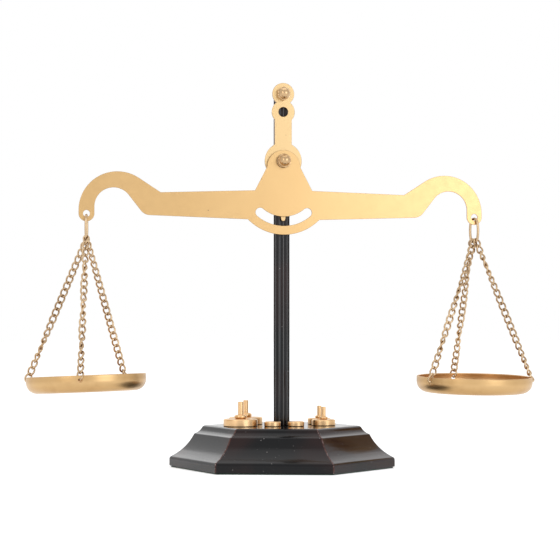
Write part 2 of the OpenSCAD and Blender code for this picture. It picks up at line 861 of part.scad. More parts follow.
base();
felt_pad();
post();
post_stud();
base_washer();
base_nut();
bracket_plate();
top_bolt();
top_acorn_nut();
pivot_bolt();
pivot_spacer();
pivot_washer();
pivot_acorn_nut();
beam();
left_ring();
right_ring();
left_top_links();
right_top_links();
left_chain_outer();
left_chain_front();
left_chain_back();
right_chain_outer();
right_chain_front();
right_chain_back();
left_pan();
right_pan();
large_weight_front();
large_weight_back();
medium_weight_front();
medium_weight_back();
small_weight_left();
small_weight_right();
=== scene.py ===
import json
import math

import bpy
from mathutils import Matrix, Vector


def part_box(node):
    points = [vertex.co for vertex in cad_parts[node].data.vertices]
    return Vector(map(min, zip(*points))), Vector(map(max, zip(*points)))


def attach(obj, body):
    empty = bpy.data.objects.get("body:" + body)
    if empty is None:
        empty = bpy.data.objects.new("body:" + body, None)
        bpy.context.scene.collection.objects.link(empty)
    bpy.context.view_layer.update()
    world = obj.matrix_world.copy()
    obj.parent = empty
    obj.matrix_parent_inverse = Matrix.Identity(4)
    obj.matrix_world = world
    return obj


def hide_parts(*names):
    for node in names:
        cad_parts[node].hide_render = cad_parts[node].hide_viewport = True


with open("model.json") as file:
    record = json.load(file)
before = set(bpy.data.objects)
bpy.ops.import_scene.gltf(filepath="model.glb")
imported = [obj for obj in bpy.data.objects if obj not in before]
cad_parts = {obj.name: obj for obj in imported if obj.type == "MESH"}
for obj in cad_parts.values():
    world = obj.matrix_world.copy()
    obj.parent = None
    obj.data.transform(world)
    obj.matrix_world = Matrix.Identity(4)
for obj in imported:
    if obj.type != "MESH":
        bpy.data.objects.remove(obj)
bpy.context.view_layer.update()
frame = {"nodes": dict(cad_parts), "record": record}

# Lengths are in millimetres, or in metres where a name ends in _M; angles are in degrees
MM = 0.001

# Camera of the photograph, in the part's frame
PHOTO_WIDTH_PX = 560
FOCAL_PX = 1870.0
SENSOR_MM = 36.0
CAMERA_DISTANCE = 1283.0
CAMERA_HEIGHT = 94.8
CAMERA_PITCH = 1.5
CAMERA_YAW = 9.5
POST_OFFSET_PX = 1.6
CLIP_END_M = 20

# Base
BASE_CORNER_R = 77.5
BASE_TURN = -13.5
PLINTH_H = 4.6
SHOULDER_R = 2.4
COVE_R = 32.5
BEAD_R = 1.5
LIP_R = 8.5
EDGE_R = 2.6
COVE_LOW, COVE_HIGH = 30, 66
LIP_LOW, LIP_HIGH = 24, 64
FOOT_ROUND = 0.35
MITRE_ROUND = 0.8
# Kept small so the dark felt edge also serves as painted shade along the contact line
FELT_INSET = 1.0
# Felt's edge from the floor up: how far it draws back from its widest, and at what height
FELT_EDGE = ((0.5, 0.0), (0.15, 0.2), (0.0, 0.5), (0.1, 0.85))
FELT_TOP_INSET = 0.3
RECESS_R = 9.5
RECESS_H = 9.0
TOP_FACE_RINGS = 5
TOP_FACE_NORMAL_Z = 0.99
# Rubbed edges of the base: how strong the wear is, and how far it reaches
MITRE_WEAR, MITRE_WEAR_REACH = 0.85, 1.6
LEDGE_WEAR, LEDGE_WEAR_REACH = 0.55, 1.3
RIM_WEAR, RIM_WEAR_REACH = 0.6, 0.8

# Post
POST_R = 5.6
FLUTES = 12
FLUTE_DEPTH = 0.6
FLUTE_PHASE = 3.5
FLUTE_FULLNESS = 0.8
FLUTE_STEPS = 16
CREST_HALF_ANGLE = 5
POST_BEVEL = 0.5
POST_ROWS = 24

# Sheet metal
BRACKET_T = 1.5
BEAM_T = 1.5
EDGE_BEVEL = 0.22
BOLT_R = 2.5
BRACKET_HOLE_GAP = 0.1
BEAM_HOLE_GAP = 0.05
CUT_EDGE_MARGIN = 0.02

# Bracket, measured from the pivot
TOP_BOLT_RISE = 46.0
TOP_DISC_R = 7.6
RING_DISC_RISE = 33.7
RING_DISC_R = 8.0
RING_DISC_HOLE_R = 3.3
NECK_HALF_W = 5.9
PIVOT_DISC_R = 12.8
POINTER_DROP = 41.1
POINTER_HALF_W = 1.4
POINTER_ROOT_HALF_W = 7.0

# Beam, measured from the pivot
BEAM_ARM = 134.1
HOOK_DROP = 37.3
HOOK_R = 26.2
HOOK_HOLLOW_R = 12.9
HOOK_BAND = 10.9
TAB_W = 10.6
TAB_L = 2.4
HOOK_HOLE_R = 2.3
OUTER_SLOPE = 33
INNER_SLOPE = 52
ARM_CORNER_R = 8.0
ARM_IN_X, ARM_OUT_X = 20.0, 90.0
ARM_H_IN, ARM_H_OUT = 20.0, 15.4
ARM_DROP = 30.35
CROWN_R = 11.4
CROWN_DROP = 4.0
SHOULDER_HALF_W = 19.8
BELLY_R = 34.7
BELLY_DROP = 15.8
SLOT_IN_R, SLOT_OUT_R = 22.3, 28.6
SLOT_HALF_ANGLE = 39.8

# Rings and chains
RING_L, RING_W, RING_WIRE_R = 18.0, 9.2, 0.9
RING_END_R = 3.2
RING_ARC_R = RING_W / 2 - RING_WIRE_R
CHAIN_SPREAD = 32
CHAIN_LINKS = 22
LINK_W = 5.3
LINK_WIRE_R = 0.63
LINK_TWIST = 84
LAST_LINK_TURN = 25
LINK_FULLNESS = 0.88
RING_CHAIN_GAP = 0.22
CHAIN_GAP = 0.04
JOINT_GAP = 0.29

# Pans
PAN_R = 40.0
PAN_DEPTH = 11.2
PAN_T = 0.8
PAN_CORNER_R = 7.5
PAN_HOLE_DROP = 3.3
PAN_HOLE_R = 1.5
PAN_DRILL_L = 6
PAN_LIP_R = 0.55
# Radii of the rings of points on the pan's floor
PAN_FLOOR_IN_R, PAN_FLOOR_OUT_R = 12.0, 24.0
LAST_LINK_RISE = 0.45
LAST_LINK_OUT = 0.5
SIDES = {
    "left": {
        "holes": (168, 261, 45), "spread": (0, -1, 1),
        "drop": 108.4, "roll": 2.0, "pitch": 1.5,
    },
    "right": {
        "holes": (348, 206, 97), "spread": (-1, 0, 1),
        "drop": 110.2, "roll": -0.5, "pitch": -2.0,
    },
}
# How far each chain's links are turned from facing the front, at shares of its way down
FACING = {
    "left_outer": (
        (0, -50), (0.15, -25), (0.3, -5), (0.48, 5), (0.57, 20),
        (0.67, 52), (0.76, 90), (0.86, 128), (1, 187),
    ),
    "left_front": (
        (0, -48), (0.1, 10), (0.21, 85), (0.32, 170), (0.42, 225), (0.51, 270),
        (0.64, 355), (0.7, 400), (0.77, 448), (0.86, 500), (1, 512),
    ),
    "left_back": (
        (0, -51), (0.15, -38), (0.3, -20), (0.5, -4),
        (0.68, 4), (0.86, 20), (0.95, 44), (1, 66),
    ),
    "right_outer": (
        (0, 14), (0.08, 50), (0.17, 88), (0.3, 120), (0.42, 150),
        (0.56, 178), (0.7, 200), (0.82, 228), (0.9, 246), (1, 254),
    ),
    "right_front": (
        (0, 7), (0.2, 45), (0.38, 95), (0.5, 140), (0.6, 182),
        (0.68, 225), (0.76, 270), (0.84, 318), (0.92, 362), (1, 420),
    ),
    "right_back": (
        (0, 0), (0.12, 45), (0.24, 90), (0.4, 140), (0.55, 178),
        (0.64, 222), (0.72, 270), (0.8, 318), (0.89, 350), (1, 356),
    ),
}
CHAIN_NAMES = ("outer", "front", "back")

# Weights
BEAD_SQUASH = 0.33
DISC_TOP_ROUND = 0.9
DISC_FOOT_ROUND = 0.45
STEM_FLARE_R = 0.4
STEM_TOP_ROUND = 0.45
# Disc height, bead radius and stem radius; a small weight is a plain disc
WEIGHTS = {
    "large_weight_front": (5.0, 4.2, 1.8),
    "large_weight_back": (5.0, 4.2, 1.8),
    "medium_weight_front": (4.2, 2.9, 1.5),
    "medium_weight_back": (4.2, 2.9, 1.5),
    "small_weight_left": (3.4, 0, 0),
    "small_weight_right": (3.4, 0, 0),
}

# Nuts
NUT_FLATS = 8.4
NUT_HEX_H = 3.4
NUT_DOME_H = 5.2
NUT_COLLAR_R = 4.8
NUT_COLLAR_ROUND = 0.15
NUT_DOME_R = NUT_FLATS / 2 - 0.4
PIVOT_COLLAR_H = 0.6

# Colours, as amounts of red, green and blue light
COOL_BLACK = (0.0022, 0.0024, 0.0033)
WARM_BLACK = (0.0165, 0.0062, 0.0058)
DARK_RED_WEAR = (0.045, 0.012, 0.009)
PALE_RED_WEAR = (0.13, 0.05, 0.038)
# Painted highlight: light grey laid along the post's ridge crests
CREST_HIGHLIGHT_GREY = (0.125, 0.122, 0.12)
NICK_GREY = (0.34, 0.31, 0.30)
FLECK_BROWN = (0.10, 0.05, 0.02)
STAIN_BROWN = (0.40, 0.225, 0.085)
RING_BROWN = (0.46, 0.27, 0.10)
CUT_EDGE_BROWN = (0.36, 0.205, 0.075)
DARK_FELT = (0.012, 0.030, 0.018)
PALE_FELT = (0.030, 0.065, 0.040)

# Stage and light
FLOOR_REACH_M = 12.0
FLOOR_GREY = (0.94, 0.94, 0.94)
FLOOR_GLOW = 0.36
STUDIO_COLOUR = (0.96, 0.98, 1.0, 1)
STUDIO_STRENGTH = 0.78
WHITE = (1, 1, 1, 1)
LAMP_TARGET_M = (0, 0, 0.13)
KEY_COLOUR = (0.86, 0.93, 1.0)


def sin_d(angle):
    return math.sin(math.radians(angle))


def cos_d(angle):
    return math.cos(math.radians(angle))


def joint(name):
    for row in frame["record"]["behaviour"]["joints"]:
        if row["name"] == name:
            return row
    raise KeyError(name)


def joint_place(name):
    return Vector(joint(name)["pos_m"]) / MM


def node_box(name):
    low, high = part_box(name)
    return Vector(low) / MM, Vector(high) / MM


PIVOT = joint_place("beam_tilt")
BEAM_MID = -PIVOT.y
FELT_TOP = node_box("felt_pad")[1].z


# Material nodes


class Nodes:
    """Short way to build one procedural material."""

    def __init__(self, name):
        self.material = bpy.data.materials.new(name)
        self.material.use_nodes = True
        self.tree = self.material.node_tree
        self.tree.nodes.clear()
        self.out = self.add("ShaderNodeOutputMaterial")
        self.shader = self.add("ShaderNodeBsdfPrincipled")
        self.link(self.shader.outputs["BSDF"], self.out.inputs["Surface"])

    def add(self, kind, **values):
        made = self.tree.nodes.new(kind)
        for key, value in values.items():
            setattr(made, key, value)
        return made

    def link(self, source, target):
        self.tree.links.new(source, target)

    def feed(self, target, value):
        if isinstance(value, (int, float)):
            target.default_value = value
        elif isinstance(value, (tuple, list)):
            lacks_alpha = len(value) == 3 and len(target.default_value) == 4
            target.default_value = (*value, 1.0) if lacks_alpha else value
        else:
            self.link(value, target)

    def coords(self, scale=(1, 1, 1)):
        """Object coordinates in millimetres, stretched by scale."""
        place = self.add("ShaderNodeTexCoord").outputs["Object"]
        mapping = self.add("ShaderNodeMapping")
        self.link(place, mapping.inputs["Vector"])
        mapping.inputs["Scale"].default_value = [s / MM for s in scale]
        return mapping.outputs["Vector"]

    def noise(self, vector, scale, detail=3, roughness=0.55, distortion=0.0):
        made = self.add("ShaderNodeTexNoise")
        self.link(vector, made.inputs["Vector"])
        made.inputs["Scale"].default_value = scale
        made.inputs["Detail"].default_value = detail
        made.inputs["Roughness"].default_value = roughness
        made.inputs["Distortion"].default_value = distortion
        return made.outputs["Fac"]

    def noise_line(self, value, scale):
        """Noise along one number."""
        made = self.add("ShaderNodeTexNoise", noise_dimensions="1D")
        self.link(value, made.inputs["W"])
        made.inputs["Scale"].default_value = scale
        made.inputs["Detail"].default_value = 3
        return made.outputs["Fac"]

    def voronoi(self, vector, scale, randomness=1.0):
        made = self.add("ShaderNodeTexVoronoi")
        self.link(vector, made.inputs["Vector"])
        made.inputs["Scale"].default_value = scale
        made.inputs["Randomness"].default_value = randomness
        return made.outputs["Distance"]

    def span(self, value, low, high, to_low=0.0, to_high=1.0):
        made = self.add("ShaderNodeMapRange", interpolation_type="SMOOTHSTEP")
        self.link(value, made.inputs["Value"])
        made.inputs["From Min"].default_value = low
        made.inputs["From Max"].default_value = high
        made.inputs["To Min"].default_value = to_low
        made.inputs["To Max"].default_value = to_high
        return made.outputs["Result"]

    def math(self, operation, first, second):
        made = self.add("ShaderNodeMath", operation=operation)
        self.feed(made.inputs[0], first)
        self.feed(made.inputs[1], second)
        return made.outputs[0]

    def mix(self, factor, first, second):
        """Mix of two colours, which are inputs 6 and 7 and output 2 of the node."""
        made = self.add("ShaderNodeMix", data_type="RGBA")
        self.feed(made.inputs[0], factor)
        self.feed(made.inputs[6], first)
        self.feed(made.inputs[7], second)
        return made.outputs[2]

    def attribute(self, name):
        return self.add("ShaderNodeAttribute", attribute_name=name).outputs["Fac"]

    def bump(self, height, distance_mm, strength=1.0):
        made = self.add("ShaderNodeBump")
        made.inputs["Strength"].default_value = strength
        made.inputs["Distance"].default_value = distance_mm * MM
        self.link(height, made.inputs["Height"])
        self.link(made.outputs["Normal"], self.shader.inputs["Normal"])

    def set(self, **values):
        for key, value in values.items():
            self.feed(self.shader.inputs[key.replace("_", " ")], value)


def metal(
    name, light, dark, roughness,
    brush=(1, 1, 1), brush_depth=0.001, fleck=0.0, edge=None, coat=0.0,
):
    """Satin metal: soft clouds of two tones, fine brushing and, if asked, flecks and dark edges."""
    made = Nodes(name)
    place = made.coords()
    colour = made.mix(made.span(made.noise(place, 0.022, 2), 0.3, 0.7), light, dark)
    fine = made.noise(made.coords(brush), 1.4, 4, 0.6)
    colour = made.mix(made.span(fine, 0.3, 0.7, 0.0, 0.12), colour, dark)
    if fleck:
        spots = made.span(made.voronoi(place, 0.2), 0.05, 0.09, 1.0, 0.0)
        rare = made.span(made.noise(place, 0.11, 2), 0.6, 0.64)
        stain = made.math("MULTIPLY", made.math("MULTIPLY", spots, rare), fleck)
        colour = made.mix(stain, colour, FLECK_BROWN)
    if edge:
        colour = made.mix(made.span(made.attribute("edge"), 0.1, 0.9), colour, edge)
    rough = made.span(made.noise(place, 0.25, 3), 0.25, 0.75, roughness - 0.03, roughness + 0.04)
    made.set(Base_Color=colour, Metallic=1.0, Roughness=rough, Coat_Weight=coat, Coat_Roughness=0.3)
    made.bump(fine, brush_depth)
    return made.material


def spun_metal(name, outside, inside, roughness):
    """Satin sheet with fine rings round its axis; the inside has its own tone."""
    made = Nodes(name)
    place = made.coords()
    rings = made.noise_line(made.attribute("ring"), 1.3)
    broad = made.noise_line(made.attribute("ring"), 0.16)
    colour = made.mix(made.attribute("inside"), outside, inside)
    stain = made.span(made.noise(place, 0.06, 3), 0.42, 0.78, 0.0, 0.55)
    colour = made.mix(stain, colour, STAIN_BROWN)
    colour = made.mix(made.span(broad, 0.35, 0.7, 0.0, 0.22), colour, RING_BROWN)
    rough = made.span(broad, 0.3, 0.7, roughness - 0.03, roughness + 0.05)
    made.set(Base_Color=colour, Metallic=1.0, Roughness=rough)
    made.bump(rings, 0.004)
    return made.material


def lacquer(name, streak_scale, streak_depth, roughness):
    """Glossy black: faint streaks, red-brown wear on the mitres, painted highlight on the ridge
    crests, pale nicks.
    """
    made = Nodes(name)
    place = made.coords()
    worn_noise = made.noise(place, 0.55, 5, 0.65)
    edge = made.attribute("wear")
    worn = made.span(made.math("ADD", edge, made.math("MULTIPLY", worn_noise, 0.75)), 1.0, 1.28)
    clouds = made.span(made.noise(place, 0.018, 2), 0.42, 0.62)
    tone = made.mix(clouds, COOL_BLACK, WARM_BLACK)
    red = made.mix(worn_noise, DARK_RED_WEAR, PALE_RED_WEAR)
    colour = made.mix(made.math("MULTIPLY", worn, 0.8), tone, red)
    # Painted highlight on the post's ridge crests, broken into long streaks
    highlight_breakup = made.span(made.noise(made.coords((0.5, 0.5, 0.012)), 0.9, 3), 0.3, 0.65, 0.45, 1.0)
    crest_highlight = made.math("MULTIPLY", made.attribute("crest"), highlight_breakup)
    colour = made.mix(crest_highlight, colour, CREST_HIGHLIGHT_GREY)
    nick_cells = made.span(made.voronoi(place, 0.36), 0.07, 0.13, 1.0, 0.0)
    nick_rare = made.span(made.noise(place, 0.23, 2), 0.55, 0.62)
    chips = made.span(made.math("ADD", edge, made.noise(place, 1.1, 3)), 1.42, 1.52)
    nick = made.math("MAXIMUM", made.math("MULTIPLY", nick_cells, nick_rare), chips)
    colour = made.mix(made.math("MULTIPLY", nick, 0.8), colour, NICK_GREY)
    streak = made.noise(made.coords(streak_scale), 0.9, 4, 0.6)
    rough = made.span(streak, 0.25, 0.75, roughness - 0.05, roughness + 0.06)
    made.set(Base_Color=colour, Roughness=rough, Specular_IOR_Level=0.24)
    made.bump(made.math("ADD", streak, made.math("MULTIPLY", worn_noise, 0.35)), streak_depth)
    return made.material


def felt_material():
    made = Nodes("felt")
    place = made.coords()
    fibre = made.noise(place, 2.4, 6, 0.75, 0.6)
    colour = made.mix(fibre, DARK_FELT, PALE_FELT)
    made.set(Base_Color=colour, Roughness=0.96, Sheen_Weight=0.4)
    made.bump(fibre, 0.25)
    return made.material


SHEET_FINISH = {
    "roughness": 0.31, "brush": (2.2, 2.2, 0.05), "brush_depth": 0.002,
    "fleck": 0.85, "edge": CUT_EDGE_BROWN, "coat": 1.0,
}
BEAM_BRASS = metal("beam_brass", (0.625, 0.39, 0.155), (0.60, 0.37, 0.143), **SHEET_FINISH)
PLATE_BRASS = metal("plate_brass", (0.645, 0.435, 0.20), (0.62, 0.415, 0.185), **SHEET_FINISH)
PAN_BRASS = spun_metal("pan_brass", (0.60, 0.39, 0.185), (0.62, 0.395, 0.205), 0.33)
CHAIN_BRASS = metal("chain_brass", (0.61, 0.445, 0.275), (0.41, 0.28, 0.16), 0.22)
WEIGHT_BRASS = metal("weight_brass", (0.76, 0.50, 0.265), (0.66, 0.42, 0.21), 0.30)
NUT_BRASS = metal("nut_brass", (0.61, 0.42, 0.24), (0.51, 0.335, 0.175), 0.24)
# Painted shade: dark brass for the pivot washer and spacer, standing in for the shadow round the
# pivot nut's foot
SHADE_DARK_BRASS = metal("shade_dark_brass", (0.20, 0.12, 0.055), (0.13, 0.075, 0.035), 0.45)
STEEL = metal("plated_steel", (0.50, 0.49, 0.47), (0.36, 0.35, 0.34), 0.3)
BASE_LACQUER = lacquer("base_lacquer", (0.035, 0.035, 0.7), 0.05, 0.14)
TOP_LACQUER = lacquer("top_lacquer", (0.3, 0.3, 0.3), 0.004, 0.10)
POST_LACQUER = lacquer("post_lacquer", (0.8, 0.8, 0.03), 0.002, 0.16)
FELT = felt_material()


# Mesh helpers: points in millimetres, meshes in metres


def linked(name, data):
    made = bpy.data.objects.new(name, data)
    bpy.context.scene.collection.objects.link(made)
    return made


def bare_object(name, points, faces):
    mesh = bpy.data.meshes.new(name)
    mesh.from_pydata([Vector(p) * MM for p in points], [], faces)
    mesh.update()
    return linked(name, mesh)


def new_object(name, points, faces, material, smooth_angle=40):
    made = bare_object(name, points, faces)
    finish_mesh(made, material, smooth_angle)
    return made


def finish_mesh(made, material, smooth_angle=40):
    made.data.materials.clear()
    made.data.materials.append(material)
    made.data.shade_smooth()
    made.data.set_sharp_from_angle(angle=math.radians(smooth_angle))
    weighted = made.modifiers.new("even_normals", "WEIGHTED_NORMAL")
    weighted.keep_sharp = True


def give(piece, body, slot, *nodes):
    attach(piece, body)
    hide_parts(*nodes)


def ring_faces(rings, per_ring, closed_rows=False, closed_ring=True):
    """Quads between rows of points; rows follow each other and may close on the first."""
    faces = []
    rows = rings if closed_rows else rings - 1
    columns = per_ring if closed_ring else per_ring - 1
    for row in range(rows):
        following = (row + 1) % rings
        for column in range(columns):
            beside = (column + 1) % per_ring
            faces.append((
                row * per_ring + column,
                row * per_ring + beside,
                following * per_ring + beside,
                following * per_ring + column,
            ))
    return faces


def turned(profile, outline, steps):
    """Profile of (radius, height) turned round Z; outline(angle, radius) shapes each row."""
    points = []
    for radius, height in profile:
        for step in range(steps):
            angle = 360 * step / steps
            reach = outline(angle, radius)
            points.append((reach * cos_d(angle), reach * sin_d(angle), height))
    faces = ring_faces(len(profile), steps)
    faces.append(tuple(reversed(range(steps))))
    top = (len(profile) - 1) * steps
    faces.append(tuple(range(top, top + steps)))
    return points, faces


def round_outline(angle, radius):
    return radius


def arc(centre, radius, start, end, steps):
    return [
        (
            centre[0] + radius * cos_d(start + (end - start) * step / steps),
            centre[1] + radius * sin_d(start + (end - start) * step / steps),
        )
        for step in range(steps + 1)
    ]


def moved(points, matrix):
    return [matrix @ Vector(p) for p in points]


def path_frames(path, closed=True):
    """Wire frames carried along a path; a closed path's leftover twist is spread evenly."""
    count = len(path)
    tangents = []
    for k in range(count):
        before, after = path[k - 1], path[(k + 1) % count]
        tangents.append((after - before).normalized())
    normal = tangents[0].orthogonal().normalized()
    normals = [normal]
    for k in range(1, count):
        turn = tangents[k - 1].rotation_difference(tangents[k])
        normal = turn @ normal
        normals.append(normal)
    back = tangents[-1].rotation_difference(tangents[0]) @ normal
    rest = math.atan2(back.cross(normals[0]).dot(tangents[0]), back.dot(normals[0]))
    frames = []
    for k in range(count):
        spin = Matrix.Rotation(rest * k / count, 3, tangents[k])
        side = spin @ normals[k]
        frames.append((side, tangents[k].cross(side)))
    return frames


def wire(path, radius, around=12):
    points = []
    for centre, (side, other) in zip(path, path_frames(path)):
        for k in range(around):
            angle = 360 * k / around
            points.append(centre + radius * (cos_d(angle) * side + sin_d(angle) * other))
    return points, ring_faces(len(path), around, closed_rows=True)


def joined(parts):
    points, faces = [], []
    for part_points, part_faces in parts:
        start = len(points)
        points += part_points
        faces += [tuple(start + k for k in face) for face in part_faces]
    return points, faces


def plate(name, loops, back, thickness, material, bevel=EDGE_BEVEL):
    """Upright sheet cut to closed loops of (x, z) from the pivot, with its back at depth back."""
    curve = bpy.data.curves.new(name + "_outline", "CURVE")
    curve.dimensions = "2D"
    curve.fill_mode = "BOTH"
    for loop in loops:
        spline = curve.splines.new("POLY")
        spline.points.add(len(loop) - 1)
        for point, (x, z) in zip(spline.points, loop):
            point.co = (x * MM, z * MM, 0, 1)
        spline.use_cyclic_u = True
    curve.extrude = (thickness / 2 - bevel) * MM
    curve.bevel_depth = bevel * MM
    curve.bevel_resolution = 2
    curve.offset = -bevel * MM
    shape = linked(name + "_outline", curve)
    ready = shape.evaluated_get(bpy.context.evaluated_depsgraph_get())
    mesh = bpy.data.meshes.new_from_object(ready)
    middle = -back - thickness / 2
    stand = Matrix.Translation(Vector((PIVOT.x, middle, PIVOT.z)) * MM)
    mesh.transform(stand @ Matrix.Rotation(math.radians(90), 4, "X"))
    mesh.name = name
    bpy.data.objects.remove(shape)
    made = linked(name, mesh)
    finish_mesh(made, material, 35)
    half = thickness / 2 - CUT_EDGE_MARGIN
    cut = [abs(vertex.co.y / MM - middle) < half for vertex in mesh.vertices]
    set_attribute(made, "edge", [float(value) for value in cut])
    return made


def mirrored(half):
    return half + [(-x, z) for x, z in reversed(half[1:-1])]


def set_attribute(made, name, values):
    layer = made.data.attributes.new(name, "FLOAT", "POINT")
    layer.data.foreach_set("value", values)


# Base


def base_profile():
    """Half width over the flats against height above the felt."""
    half = BASE_CORNER_R * cos_d(30)
    shoulder = (half - SHOULDER_R, PLINTH_H)

    def beyond(centre, radius, angle):
        return centre[0] + radius * cos_d(angle), centre[1] + radius * sin_d(angle)

    cove = beyond(shoulder, SHOULDER_R + COVE_R, 90 - COVE_LOW)
    bead = beyond(beyond(cove, -COVE_R, 90 - COVE_HIGH), -BEAD_R, 90 - COVE_HIGH)
    lip = beyond(bead, BEAD_R + LIP_R, 90 - LIP_LOW)
    edge = beyond(beyond(lip, -LIP_R, 90 - LIP_HIGH), -EDGE_R, 90 - LIP_HIGH)
    profile = arc((half - FOOT_ROUND, FOOT_ROUND), FOOT_ROUND, -90, 0, 3)
    profile += arc(shoulder, SHOULDER_R, 0, 90 - COVE_LOW, 8)
    profile += arc(cove, -COVE_R, 90 - COVE_LOW, 90 - COVE_HIGH, 18)[1:]
    profile += arc(bead, BEAD_R, 90 - COVE_HIGH, 90 - LIP_LOW, 7)[1:]
    profile += arc(lip, -LIP_R, 90 - LIP_LOW, 90 - LIP_HIGH, 10)[1:]
    profile += arc(edge, EDGE_R, 90 - LIP_HIGH, 90, 7)[1:]
    return profile


def hexagon_row(half, height, per_side, per_corner):
    """Points round one hexagon with small round mitres, and how near each is to a mitre."""
    points, near = [], []
    corner_reach = half / cos_d(30) - MITRE_ROUND / cos_d(30)
    for corner in range(6):
        middle = 60 * corner + BASE_TURN
        for k in range(per_corner + 1):
            angle = middle - 30 + 60 * k / per_corner
            points.append((
                corner_reach * cos_d(middle) + MITRE_ROUND * cos_d(angle),
                corner_reach * sin_d(middle) + MITRE_ROUND * sin_d(angle),
                height,
            ))
            near.append(1.0)
        start = Vector(points[-1])
        following = middle + 60
        end = Vector((
            corner_reach * cos_d(following) + MITRE_ROUND * cos_d(following - 30),
            corner_reach * sin_d(following) + MITRE_ROUND * sin_d(following - 30),
            height,
        ))
        for k in range(1, per_side):
            share = k / per_side
            eased = 0.5 - 0.5 * math.cos(math.pi * share)
            points.append(tuple(start.lerp(end, eased)))
            distance = min(eased, 1 - eased) * (end - start).length
            near.append(max(0.0, 1 - distance / MITRE_WEAR_REACH))
    return points, near


def make_base():
    """Moulding, top face and the underside with the nut's recess, as one closed skin."""
    per_side, per_corner = 16, 4
    rows, wear = [], []
    profile = base_profile()
    for half, height in profile:
        points, near = hexagon_row(half, FELT_TOP + height, per_side, per_corner)
        rows += points
        ledge = max(0.0, 1 - abs(height - PLINTH_H) / LEDGE_WEAR_REACH) * LEDGE_WEAR
        rim = max(0.0, 1 - abs(height - profile[-1][1]) / RIM_WEAR_REACH) * RIM_WEAR
        wear += [min(1.0, max(value * MITRE_WEAR, ledge, rim)) for value in near]
    around = len(rows) // len(profile)
    faces = ring_faces(len(profile), around)
    last = len(profile) - 1
    start = last * around
    for step in range(1, TOP_FACE_RINGS + 1):
        share = 1 - step / (TOP_FACE_RINGS + 1)
        for k in range(around):
            x, y, z = rows[start + k]
            rows.append((x * share, y * share, z))
            wear.append(0.0)
        row = last + step
        for k in range(around):
            beside = (k + 1) % around
            faces.append((
                (row - 1) * around + k, (row - 1) * around + beside,
                row * around + beside, row * around + k,
            ))
    inner = (last + TOP_FACE_RINGS) * around
    faces.append(tuple(range(inner, inner + around)))
    ring_start = len(rows)
    for height in (FELT_TOP, FELT_TOP + RECESS_H):
        for k in range(around):
            x, y, _ = rows[k]
            angle = math.degrees(math.atan2(y, x))
            rows.append((RECESS_R * cos_d(angle), RECESS_R * sin_d(angle), height))
            wear.append(0.0)
    for k in range(around):
        beside = (k + 1) % around
        faces.append((beside, k, ring_start + k, ring_start + beside))
        faces.append((
            ring_start + beside, ring_start + k,
            ring_start + around + k, ring_start + around + beside,
        ))
    faces.append(tuple(reversed(range(ring_start + around, ring_start + 2 * around))))
    made = new_object("base_moulding", rows, faces, BASE_LACQUER, 50)
    made.data.materials.append(TOP_LACQUER)
    for polygon in made.data.polygons:
        if polygon.normal.z > TOP_FACE_NORMAL_Z:
            polygon.material_index = 1
    set_attribute(made, "wear", wear)
    give(made, "stand", "black_lacquer", "base")


def make_felt():
    """Felt sheet with a soft, slightly bulging edge just inside the base's outline; its dark edge,
    brought out nearly to the outline, is also painted shade along the contact line under the base.
    """
    half = BASE_CORNER_R * cos_d(30) - FELT_INSET
    profile = [*FELT_EDGE, (FELT_TOP_INSET, FELT_TOP)]
    points = []
    for inset, height in profile:
        points += hexagon_row(half - inset, height, 20, 4)[0]
    rows = len(profile)
    around = len(points) // rows
    faces = ring_faces(rows, around)
    faces.append(tuple(reversed(range(around))))
    faces.append(tuple(range((rows - 1) * around, rows * around)))
    made = new_object("felt_sheet", points, faces, FELT, 60)
    give(made, "stand", "felt", "felt_pad")


# Post


def flute_outline(angle, radius):
    """Hollow flutes with rounded ridges between them."""
    hollow = 0.5 - 0.5 * cos_d(FLUTES * (angle - FLUTE_PHASE))
    return radius - FLUTE_DEPTH * hollow**FLUTE_FULLNESS


def make_post():
    low, high = node_box("post")
    profile = [(POST_R - POST_BEVEL, low.z), (POST_R, low.z + POST_BEVEL)]
    straight = high.z - low.z - 2 * POST_BEVEL
    for k in range(1, POST_ROWS):
        profile.append((POST_R, low.z + POST_BEVEL + straight * k / POST_ROWS))
    profile += [(POST_R, high.z - POST_BEVEL), (POST_R - POST_BEVEL, high.z)]
    points, faces = turned(profile, flute_outline, FLUTES * FLUTE_STEPS)
    made = new_object("fluted_post", points, faces, POST_LACQUER, 60)
    step = 360 / FLUTES
    crest = []
    for x, y, _ in points:
        angle = math.degrees(math.atan2(y, x)) - FLUTE_PHASE
        off_ridge = abs((angle + step / 2) % step - step / 2)
        crest.append(max(0.0, 1 - off_ridge / CREST_HALF_ANGLE))
    # Where the painted highlight goes: how near each point is to a ridge crest
    set_attribute(made, "crest", crest)
    give(made, "stand", "black_lacquer", "post")


# Bracket and beam


